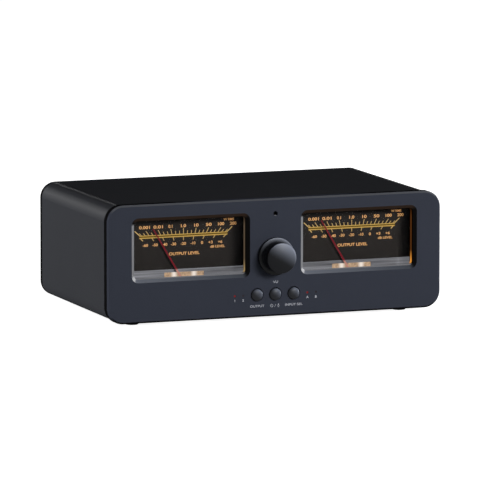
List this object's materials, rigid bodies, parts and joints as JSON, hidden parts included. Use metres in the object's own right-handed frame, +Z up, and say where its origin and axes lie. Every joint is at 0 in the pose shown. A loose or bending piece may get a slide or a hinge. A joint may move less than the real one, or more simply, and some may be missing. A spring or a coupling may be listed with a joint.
{
  "type": "stereo vu meter unit",
  "caption": "Desk-top unit with needle meters behind bevelled windows, a centre knob, push buttons, indicator lamps and rear binding posts.",
  "frame": {"origin": "middle of the footprint, at the bottom of the feet", "axes": "+Z up, the front panel faces -Y, +X to the right seen from the front"},
  "size_m": [0.2, 0.1466, 0.0691],
  "materials": {
    "panel": "fine satin",
    "sleeve": "fine satin",
    "rubber": "matte",
    "clear": "polished clear plastic",
    "black_plastic": "matte",
    "dial": "matte print",
    "strip": "brushed",
    "diffuser": "frosted",
    "board": "solder mask",
    "steel": "plain",
    "magnet": "ground",
    "brass": "turned",
    "gilt": "plated",
    "needle": "red paint",
    "coil": "enamelled wire",
    "knob": "anodised satin",
    "button": "anodised satin",
    "light_pipe": "clear tinted",
    "relay": "moulded",
    "cap_red": "clear tinted",
    "cap_black": "moulded"
  },
  "bodies": {
    "unit": {"board_spacers": "steel", "button_switches": "black_plastic", "case_sleeve": "sleeve", "core_magnets": "magnet", "dc_jack": "black_plastic", "feet": "rubber", "front_board": "board", "front_panel": "panel", "hairsprings": "gilt", "indicator_lamps": "diffuser", "jewel_screws": "brass", "lamp_boards": "board", "lamp_diffusers": "diffuser", "left_dial_plate": "dial", "left_meter_case": "black_plastic", "left_meter_cover": "clear", "light_pipes": "light_pipe", "magnet_yokes": "steel", "main_board": "board", "microphone": "steel", "movement_frames": "steel", "post_studs": "gilt", "potentiometer": "steel", "potentiometer_nut": "steel", "rear_panel": "panel", "relays": "relay", "right_dial_plate": "dial", "right_meter_case": "black_plastic", "right_meter_cover": "clear", "sill_strips": "strip", "small_screws": "steel", "terminal_blocks": "black_plastic", "tie_screws": "steel"},
    "knob": {"knob": "knob", "knob_set_screw": "steel", "knob_shaft": "steel"},
    "left_pointer": {"left_needle": "needle", "left_coil": "coil"},
    "right_pointer": {"right_needle": "needle", "right_coil": "coil"},
    "left_button": {"left_button": "button"},
    "middle_button": {"middle_button": "button"},
    "right_button": {"right_button": "button"},
    "speaker_a_left_black_cap": {"speaker_a_left_black_cap": "cap_black"},
    "speaker_a_left_red_cap": {"speaker_a_left_red_cap": "cap_red"},
    "speaker_a_right_black_cap": {"speaker_a_right_black_cap": "cap_black"},
    "speaker_a_right_red_cap": {"speaker_a_right_red_cap": "cap_red"},
    "speaker_b_left_black_cap": {"speaker_b_left_black_cap": "cap_black"},
    "speaker_b_left_red_cap": {"speaker_b_left_red_cap": "cap_red"},
    "speaker_b_right_black_cap": {"speaker_b_right_black_cap": "cap_black"},
    "speaker_b_right_red_cap": {"speaker_b_right_red_cap": "cap_red"},
    "amplifier_1_left_black_cap": {"amplifier_1_left_black_cap": "cap_black"},
    "amplifier_1_left_red_cap": {"amplifier_1_left_red_cap": "cap_red"},
    "amplifier_1_right_black_cap": {"amplifier_1_right_black_cap": "cap_black"},
    "amplifier_1_right_red_cap": {"amplifier_1_right_red_cap": "cap_red"},
    "amplifier_2_left_black_cap": {"amplifier_2_left_black_cap": "cap_black"},
    "amplifier_2_left_red_cap": {"amplifier_2_left_red_cap": "cap_red"},
    "amplifier_2_right_black_cap": {"amplifier_2_right_black_cap": "cap_black"},
    "amplifier_2_right_red_cap": {"amplifier_2_right_red_cap": "cap_red"}
  },
  "joints": [
    {"name": "knob_turn", "type": "hinge", "parent": "unit", "child": "knob", "pos_m": [0, -0.06685, 0.0364], "axis": [0, 1, 0], "range_deg": [-150, 150]},
    {"name": "left_needle_swing", "type": "hinge", "parent": "unit", "child": "left_pointer", "pos_m": [-0.0504, -0.05165, 0.0217], "axis": [0, 1, 0], "range_deg": [-13, 75], "stiffness_Nm_per_rad": 0.00015},
    {"name": "right_needle_swing", "type": "hinge", "parent": "unit", "child": "right_pointer", "pos_m": [0.0504, -0.05165, 0.0217], "axis": [0, 1, 0], "range_deg": [-13, 75], "stiffness_Nm_per_rad": 0.00015},
    {"name": "left_button_press", "type": "slide", "parent": "unit", "child": "left_button", "axis": [0, 1, 0], "range_m": [0, 0.0005], "stiffness_N_per_m": 2000},
    {"name": "middle_button_press", "type": "slide", "parent": "unit", "child": "middle_button", "axis": [0, 1, 0], "range_m": [0, 0.0005], "stiffness_N_per_m": 2000},
    {"name": "right_button_press", "type": "slide", "parent": "unit", "child": "right_button", "axis": [0, 1, 0], "range_m": [0, 0.0005], "stiffness_N_per_m": 2000},
    {"name": "speaker_a_left_black_cap_unscrew", "type": "slide", "parent": "unit", "child": "speaker_a_left_black_cap", "axis": [0, 1, 0], "range_m": [0, 0.004]},
    {"name": "speaker_a_left_red_cap_unscrew", "type": "slide", "parent": "unit", "child": "speaker_a_left_red_cap", "axis": [0, 1, 0], "range_m": [0, 0.004]},
    {"name": "speaker_a_right_black_cap_unscrew", "type": "slide", "parent": "unit", "child": "speaker_a_right_black_cap", "axis": [0, 1, 0], "range_m": [0, 0.004]},
    {"name": "speaker_a_right_red_cap_unscrew", "type": "slide", "parent": "unit", "child": "speaker_a_right_red_cap", "axis": [0, 1, 0], "range_m": [0, 0.004]},
    {"name": "speaker_b_left_black_cap_unscrew", "type": "slide", "parent": "unit", "child": "speaker_b_left_black_cap", "axis": [0, 1, 0], "range_m": [0, 0.004]},
    {"name": "speaker_b_left_red_cap_unscrew", "type": "slide", "parent": "unit", "child": "speaker_b_left_red_cap", "axis": [0, 1, 0], "range_m": [0, 0.004]},
    {"name": "speaker_b_right_black_cap_unscrew", "type": "slide", "parent": "unit", "child": "speaker_b_right_black_cap", "axis": [0, 1, 0], "range_m": [0, 0.004]},
    {"name": "speaker_b_right_red_cap_unscrew", "type": "slide", "parent": "unit", "child": "speaker_b_right_red_cap", "axis": [0, 1, 0], "range_m": [0, 0.004]},
    {"name": "amplifier_1_left_black_cap_unscrew", "type": "slide", "parent": "unit", "child": "amplifier_1_left_black_cap", "axis": [0, 1, 0], "range_m": [0, 0.004]},
    {"name": "amplifier_1_left_red_cap_unscrew", "type": "slide", "parent": "unit", "child": "amplifier_1_left_red_cap", "axis": [0, 1, 0], "range_m": [0, 0.004]},
    {"name": "amplifier_1_right_black_cap_unscrew", "type": "slide", "parent": "unit", "child": "amplifier_1_right_black_cap", "axis": [0, 1, 0], "range_m": [0, 0.004]},
    {"name": "amplifier_1_right_red_cap_unscrew", "type": "slide", "parent": "unit", "child": "amplifier_1_right_red_cap", "axis": [0, 1, 0], "range_m": [0, 0.004]},
    {"name": "amplifier_2_left_black_cap_unscrew", "type": "slide", "parent": "unit", "child": "amplifier_2_left_black_cap", "axis": [0, 1, 0], "range_m": [0, 0.004]},
    {"name": "amplifier_2_left_red_cap_unscrew", "type": "slide", "parent": "unit", "child": "amplifier_2_left_red_cap", "axis": [0, 1, 0], "range_m": [0, 0.004]},
    {"name": "amplifier_2_right_black_cap_unscrew", "type": "slide", "parent": "unit", "child": "amplifier_2_right_black_cap", "axis": [0, 1, 0], "range_m": [0, 0.004]},
    {"name": "amplifier_2_right_red_cap_unscrew", "type": "slide", "parent": "unit", "child": "amplifier_2_right_red_cap", "axis": [0, 1, 0], "range_m": [0, 0.004]}
  ]
}
